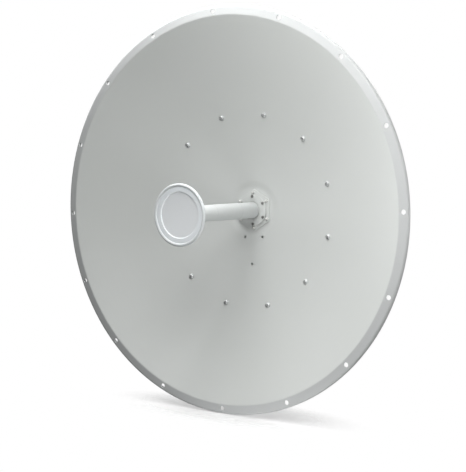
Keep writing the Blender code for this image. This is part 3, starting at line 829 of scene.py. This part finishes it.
frame_paint = frame_powder_coat("frame_paint", (0.55, 0.57, 0.57), (0.60, 0.62, 0.62))
hub_low, hub_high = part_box("hub_plate")
along = np.concatenate(
    [
        np.linspace(ARM_INNER, ARM_SHOULDER - 2 * SHOULDER_LEAD, 6),
        np.linspace(ARM_SHOULDER - SHOULDER_LEAD, ARM_OUTER, 40),
    ]
)[:, None]
share = (along - ARM_INNER) / (ARM_OUTER - ARM_INNER)
half = (ARM_WIDTHS[0] + (ARM_WIDTHS[1] - ARM_WIDTHS[0]) * share) / 2
edge = half + BRIM_WIDTHS[0] + (BRIM_WIDTHS[1] - BRIM_WIDTHS[0]) * share
fall = np.clip((along - ARM_SHOULDER) / (ARM_OUTER - ARM_SHOULDER), 0.0, 1.0)
inner_web = hub_low.y - GAP
web = inner_web + (bowl_back(ARM_OUTER) + ARM_OUTER_HEIGHT - inner_web) * fall


def foot(across):
    """The rear face of the arm's brim at this distance from the arm's middle."""
    return bowl_back(np.hypot(along, across)) + ARM_CLEARANCE + ARM_SHEET


side = [
    np.concatenate([edge, foot(edge)], 1),
    np.concatenate([half, foot(half)], 1),
    np.concatenate([half, web], 1),
]
mirrored = [points * (-1.0, 1.0) for points in side[::-1]]
outer_lines = rounded(np.stack(side + mirrored, 1), ARM_BEND, 6)
inner_lines = outer_lines - ARM_SHEET * left_normals(outer_lines)
for number in range(ARMS):
    angle = ARM_FIRST + number * math.tau / ARMS
    outward = np.array([math.cos(angle), 0.0, math.sin(angle)])
    across = np.array([-math.sin(angle), 0.0, math.cos(angle)])
    skins = [
        along[..., None] * outward
        + lines[..., :1] * across
        + lines[..., 1:] * np.array([0.0, 1.0, 0.0])
        for lines in (outer_lines, inner_lines)
    ]
    arm = sheet_between(f"pressed_arm_{number + 1}", skins[0], skins[1], frame_paint)
    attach(arm, "root")
    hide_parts(f"frame_arm_{number + 1}")

# Hub drum
# A short flanged spacer, turned from aluminium and powder-coated as the arms are. It is clamped
# between the bowl's seat and the hub plate.
DRUM_RADIUS = 0.052
DRUM_WALL = 0.004
DRUM_FLANGE = 0.003
DRUM_EDGE = 0.0005
DRUM_FILLET = 0.0015
drum_low, drum_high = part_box("hub_drum")
drum_flange_radius = (drum_high.x - drum_low.x) / 2
drum_end = [
    (DRUM_RADIUS - DRUM_WALL, 0.0),
    (drum_flange_radius - DRUM_EDGE, 0.0),
    (drum_flange_radius, DRUM_EDGE),
    (drum_flange_radius, DRUM_FLANGE),
    (DRUM_RADIUS + DRUM_FILLET, DRUM_FLANGE),
    (DRUM_RADIUS, DRUM_FLANGE + DRUM_FILLET),
]
drum_line = [(r, drum_low.y + y) for r, y in drum_end]
drum_line += [(r, drum_high.y - y) for r, y in drum_end[::-1]]
drum = piece_of("drum", [carried_round(drum_line, 96)], frame_paint, closed_rows=True)
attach(drum, "root")
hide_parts("hub_drum")

# Hub plate
# A round steel plate, powder-coated, that ties the six arms together. Two zinc-plated hexagon
# bolts go into each arm.
HUB_EDGE = 0.0008
HUB_BOLT_CIRCLE = 0.096
HUB_BOLT_SPREAD = 0.010
HUB_WASHER_RADIUS = 0.0062
HUB_HEAD_FLAT_RADIUS = 0.005
HUB_HEAD_HEIGHT = 0.004
hub_radius = (hub_high.x - hub_low.x) / 2
hub_line = [
    (HUB_BORE_RADIUS, hub_low.y + HUB_EDGE),
    (HUB_BORE_RADIUS + HUB_EDGE, hub_low.y),
    (hub_radius - HUB_EDGE, hub_low.y),
    (hub_radius, hub_low.y + HUB_EDGE),
    (hub_radius, hub_high.y - HUB_EDGE),
    (hub_radius - HUB_EDGE, hub_high.y),
    (HUB_BORE_RADIUS + HUB_EDGE, hub_high.y),
    (HUB_BORE_RADIUS, hub_high.y - HUB_EDGE),
]
hub_disc = piece_of("hub_disc", [carried_round(hub_line, 96)], frame_paint, closed_rows=True)
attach(hub_disc, "root")
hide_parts("hub_plate")
hub_bolt_rows = hexagon_on_washer(
    HUB_WASHER_RADIUS, WASHER_THICKNESS, HUB_HEAD_FLAT_RADIUS, HUB_HEAD_HEIGHT
)
hub_bolt_grids = []
for number in range(ARMS):
    angle = ARM_FIRST + number * math.tau / ARMS
    for offset in (-HUB_BOLT_SPREAD, HUB_BOLT_SPREAD):
        x = HUB_BOLT_CIRCLE * math.cos(angle) - offset * math.sin(angle)
        z = HUB_BOLT_CIRCLE * math.sin(angle) + offset * math.cos(angle)
        for rows in hub_bolt_rows:
            hub_bolt_grids.append(carried_round(rows, FASTENER_STEPS, (x, hub_high.y, z), along_axis))
hub_bolts = piece_of("hub_bolts", hub_bolt_grids, bright_zinc, sharp=FASTENER_SHARP)
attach(hub_bolts, "root")

# Tilt brackets
# Two angle brackets of bent steel plate on the hub plate. Each has the pivot's hole and the curved
# slot of the lock bolt, and three hexagon bolts through its foot.
FOOT_BOLT_X = 0.064
FOOT_BOLT_SPREAD = 0.042
FOOT_WASHER_RADIUS = 0.0085
FOOT_HEAD_FLAT_RADIUS = 0.0065
FOOT_HEAD_HEIGHT = 0.0053
THICK_WASHER = 0.0016
PLATE_THICKNESS = 0.005
PLATE_BEVEL = 0.0007


def softened(node, name, edge, finish):
    """A copy of a CAD node with its loose triangles merged, its flat faces joined, and its edges
    rounded by a Bevel."""
    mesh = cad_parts[node].data.copy()
    mesh.materials.clear()
    bm = bmesh.new()
    bm.from_mesh(mesh)
    bmesh.ops.remove_doubles(bm, verts=bm.verts, dist=1e-6)
    bmesh.ops.dissolve_limit(bm, angle_limit=math.radians(1), verts=bm.verts, edges=bm.edges)
    bm.to_mesh(mesh)
    bm.free()
    mesh.shade_smooth()
    mesh.set_sharp_from_angle(angle=math.radians(35))
    mesh.materials.append(finish)
    piece = bpy.data.objects.new(name, mesh)
    bpy.context.scene.collection.objects.link(piece)
    bevel = piece.modifiers.new("edges", "BEVEL")
    bevel.width = edge
    bevel.segments = 3
    bevel.limit_method = "ANGLE"
    bevel.angle_limit = math.radians(40)
    bevel.harden_normals = True
    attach(piece, "root")
    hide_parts(node)
    return piece


foot_bolt_rows = hexagon_on_washer(
    FOOT_WASHER_RADIUS, THICK_WASHER, FOOT_HEAD_FLAT_RADIUS, FOOT_HEAD_HEIGHT
)
foot_bolt_grids = []
for side_name, sign in (("left", -1), ("right", 1)):
    softened(f"tilt_bracket_{side_name}", f"tilt_angle_{side_name}", PLATE_BEVEL, frame_paint)
    foot_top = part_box(f"tilt_bracket_{side_name}")[0].y + PLATE_THICKNESS
    for z in (-FOOT_BOLT_SPREAD, 0.0, FOOT_BOLT_SPREAD):
        for rows in foot_bolt_rows:
            place = (sign * FOOT_BOLT_X, foot_top, z)
            foot_bolt_grids.append(carried_round(rows, FASTENER_STEPS, place, along_axis))
foot_bolts = piece_of("foot_bolts", foot_bolt_grids, bright_zinc, sharp=FASTENER_SHARP)
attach(foot_bolts, "root")

# Mast bracket
# A flat steel plate with four holes for the mast clamp, and two cheeks welded square to it. The
# weld beads run down both sides of each cheek.
WELD_RADIUS = 0.0028
WELD_PITCH = 0.0032
WELD_RIPPLE = 0.00035
WELD_MARGIN = 0.004
WELD_ROWS = 240
CLAMP_PLATE_BEVEL = 0.0008
softened("mast_plate", "clamp_plate", CLAMP_PLATE_BEVEL, frame_paint)
turn = np.arange(12) * math.tau / 12
weld_grids = []
for side_name in ("left", "right"):
    softened(f"mast_cheek_{side_name}", f"bracket_cheek_{side_name}", PLATE_BEVEL, frame_paint)
    cheek_low, cheek_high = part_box(f"mast_cheek_{side_name}")
    z = np.linspace(cheek_low.z + WELD_MARGIN, cheek_high.z - WELD_MARGIN, WELD_ROWS)[:, None]
    ripple = WELD_RIPPLE * np.abs(np.sin(math.pi * z / WELD_PITCH))
    taper = np.clip(np.minimum(z - z[0], z[-1] - z) / WELD_RADIUS, 0.0, 1.0) ** 0.5
    radius = (WELD_RADIUS + ripple) * taper
    y = cheek_high.y + radius * np.sin(turn)
    for x in (cheek_low.x, cheek_high.x):
        weld_grids.append(np.stack([x + radius * np.cos(turn), y, np.broadcast_to(z, y.shape)], -1))
welds = piece_of("cheek_welds", weld_grids, frame_paint, sharp=60.0)
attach(welds, "root")

# Pivot and lock bolts
# Four M10 hexagon bolts, zinc-plated, with washers, through the brackets and the cheeks. Their
# nuts lie inside.
BOLT_FLAT_RADIUS = 0.0085
BOLT_WASHER_RADIUS = 0.0100
BOLT_THREAD_RADIUS = 0.005
BOLT_THREAD_PITCH = 0.0015
BOLT_THREAD_REACH = 0.006
BOLT_STEPS = 36
for joint in ("pivot", "lock"):
    for side_name, sign in (("left", -1), ("right", 1)):
        node = f"{joint}_bolt_{side_name}"
        low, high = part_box(node)
        middle = (low + high) / 2
        bracket_low, bracket_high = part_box(f"tilt_bracket_{side_name}")
        cheek_low, cheek_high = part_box(f"mast_cheek_{side_name}")
        inner_x = cheek_low.x if sign > 0 else cheek_high.x
        outer_x = (bracket_low.x if sign > 0 else bracket_high.x) + sign * PLATE_THICKNESS
        head_height = abs((high.x if sign > 0 else low.x) - outer_x) - THICK_WASHER
        nut_height = abs(inner_x - (low.x if sign > 0 else high.x)) - THICK_WASHER
        head_rows = hexagon_on_washer(BOLT_WASHER_RADIUS, THICK_WASHER, BOLT_FLAT_RADIUS, head_height)
        nut_rows = hexagon_on_washer(BOLT_WASHER_RADIUS, THICK_WASHER, BOLT_FLAT_RADIUS, nut_height)
        thread_end = nut_height + BOLT_THREAD_REACH
        nut_rows.append(threaded_end(BOLT_THREAD_RADIUS, BOLT_THREAD_PITCH, nut_height, thread_end))
        grids = [
            carried_round(rows, BOLT_STEPS, (x, middle.y, middle.z), (facing, 0.0, 0.0))
            for profiles, x, facing in ((head_rows, outer_x, sign), (nut_rows, inner_x, -sign))
            for rows in profiles
        ]
        bolt = piece_of(f"{joint}_screw_{side_name}", grids, bright_zinc, sharp=FASTENER_SHARP)
        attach(bolt, "root")
        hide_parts(node)

# Floor and light
# A plain white floor under the rim. It fades into the white behind it, so that only the soft
# shadow where the rim stands on it is seen. The light is fitted to the tones in the photograph.
FLOOR_RADIUS = 1.2
FLOOR_THICKNESS = 0.002
SHADOW_MIDDLE = (-0.01, -0.22)
SHADOW_REACH = (0.42, 0.14)
FADE_START = 0.15
FADE_END = 1.0
floor_z = cad_bounds[0].z

seen_white = Finish("floor_white", Roughness=0.9, Specular_IOR_Level=0.0)
seen_white.wear(Base_Color=(0.60, 0.60, 0.60, 1.0))
seen_white.wear(Emission_Color=(1.0, 1.0, 1.0, 1.0), Emission_Strength=0.26)
# The fade's distance is measured in reaches, so that its outline is an ellipse along the rim.
shares = (1 / SHADOW_REACH[0], 1 / SHADOW_REACH[1], 0.0)
spread = seen_white.node(
    "ShaderNodeVectorMath", {"operation": "MULTIPLY"}, {0: seen_white.place, 1: shares}
)
contact = (SHADOW_MIDDLE[0] * shares[0], SHADOW_MIDDLE[1] * shares[1], 0.0)
reach = seen_white.node(
    "ShaderNodeVectorMath", {"operation": "DISTANCE"}, {0: spread, 1: contact}, output="Value"
)
fade = seen_white.node(
    "ShaderNodeMapRange",
    {"interpolation_type": "SMOOTHSTEP"},
    {"Value": reach, "From Min": FADE_START, "From Max": FADE_END, "To Min": 1.0, "To Max": 0.0},
)
seen_white.wear(Alpha=fade)
floor_rows = [(0.0, 0.0), (FLOOR_RADIUS, 0.0), (FLOOR_RADIUS, -FLOOR_THICKNESS), (0.0, -FLOOR_THICKNESS)]
floor_grid = carried_round(floor_rows, 96, (0.0, rim_y, floor_z), (0.0, 0.0, 1.0))
floor = piece_of("floor", [floor_grid], seen_white.material)
floor.visible_diffuse = False
floor.visible_glossy = False
floor.visible_shadow = False

world = bpy.data.worlds.new("studio")
bpy.context.scene.world = world
world.use_nodes = True
world_tree = world.node_tree
backdrop = world_tree.nodes["Background"]
backdrop.inputs["Color"].default_value = (1.0, 1.0, 1.0, 1.0)
fill = world_tree.nodes.new("ShaderNodeBackground")
fill.inputs["Color"].default_value = (1.0, 1.0, 1.0, 1.0)
fill.inputs["Strength"].default_value = 0.01
seen = world_tree.nodes.new("ShaderNodeLightPath")
chosen = world_tree.nodes.new("ShaderNodeMixShader")
world_tree.links.new(seen.outputs["Is Camera Ray"], chosen.inputs["Fac"])
world_tree.links.new(fill.outputs["Background"], chosen.inputs[1])
world_tree.links.new(backdrop.outputs["Background"], chosen.inputs[2])
world_tree.links.new(chosen.outputs["Shader"], world_tree.nodes["World Output"].inputs["Surface"])


def softbox(name, place, size, power):
    """A square lamp that faces the middle of the rim."""
    lamp = bpy.data.lights.new(name, "AREA")
    lamp.size = size
    lamp.energy = power
    holder = bpy.data.objects.new(name, lamp)
    holder.location = place
    facing = Vector((0.0, rim_y, 0.0)) - Vector(place)
    holder.rotation_euler = facing.to_track_quat("-Z", "Y").to_euler()
    holder.visible_camera = False
    bpy.context.scene.collection.objects.link(holder)


softbox("wide_softbox", (-1.8, rim_y + 0.1, 1.8), 3.0, 48.6)
softbox("overhead_softbox", (0.0, rim_y - 0.1, 1.0), 0.6, 8.4)
softbox("ceiling_softbox", (0.0, rim_y - 0.25, 1.6), 0.9, 3.7)
softbox("left_softbox", (-0.8, rim_y - 0.3, 1.6), 1.0, 3.0)
softbox("front_softbox", (0.25, rim_y - 0.6, 0.5), 0.4, 2.3)
softbox("front_right_softbox", (0.37, rim_y - 0.6, 0.43), 0.4, 1.4)
softbox("side_softbox", (0.6, rim_y - 0.5, 0.0), 0.5, 2.0)
softbox("rim_softbox", (0.08, rim_y - 0.3, 0.85), 0.4, 1.4)
softbox("low_side_softbox", (0.3, rim_y - 0.3, -0.7), 0.3, 0.95)
softbox("low_softbox", (0.05, rim_y - 0.2, -0.75), 0.3, 0.52)
softbox("rear_softbox", (0.8, rim_y + 1.2, 1.5), 1.2, 20.0)
softbox("rear_left_softbox", (-1.1, rim_y + 1.4, 0.3), 1.2, 10.0)
softbox("rear_right_softbox", (1.3, rim_y + 0.35, 0.1), 0.8, 5.0)
bpy.context.scene.view_settings.view_transform = "Standard"
